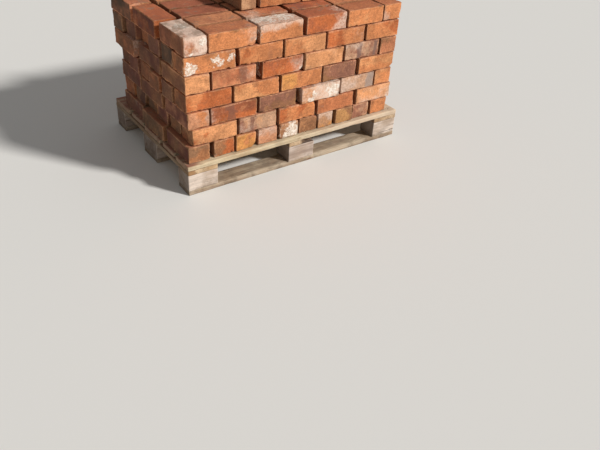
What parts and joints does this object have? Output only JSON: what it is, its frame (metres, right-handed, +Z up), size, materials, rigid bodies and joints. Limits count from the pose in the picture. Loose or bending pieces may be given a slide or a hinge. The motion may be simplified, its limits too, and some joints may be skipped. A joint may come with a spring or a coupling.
{
  "type": "pallet of bricks",
  "caption": "Reclaimed clay bricks dry stacked in crossed courses on a four-way wooden block pallet, the top course part used.",
  "frame": {"origin": "middle of the pallet's footprint, on the floor", "axes": "+X along the long front face to the right, +Y from front to back, +Z up"},
  "size_m": [1.2, 0.8, 0.802],
  "materials": {
    "fired_brick": "matt, worn fired clay",
    "deck_wood": "weathered, unplaned",
    "bearer_wood": "weathered, unplaned",
    "block_wood": "weathered, unplaned",
    "base_board_wood": "weathered, damp"
  },
  "bodies": {
    "root": {"base_board_front": "base_board_wood", "base_board_centre": "base_board_wood", "base_board_back": "base_board_wood", "block_front_left": "block_wood", "block_front_middle": "block_wood", "block_front_right": "block_wood", "block_centre_left": "block_wood", "block_centre_middle": "block_wood", "block_centre_right": "block_wood", "block_back_left": "block_wood", "block_back_middle": "block_wood", "block_back_right": "block_wood", "cross_bearer_left": "bearer_wood", "cross_bearer_middle": "bearer_wood", "cross_bearer_right": "bearer_wood", "deck_board_1": "deck_wood", "deck_board_2": "deck_wood", "deck_board_3": "deck_wood", "deck_board_4": "deck_wood", "deck_board_5": "deck_wood", "brick_course_1": "fired_brick", "brick_course_2": "fired_brick", "brick_course_3": "fired_brick", "brick_course_4": "fired_brick", "brick_course_5": "fired_brick", "brick_course_6": "fired_brick", "brick_course_7": "fired_brick", "brick_course_8": "fired_brick"}
  },
  "joints": []
}
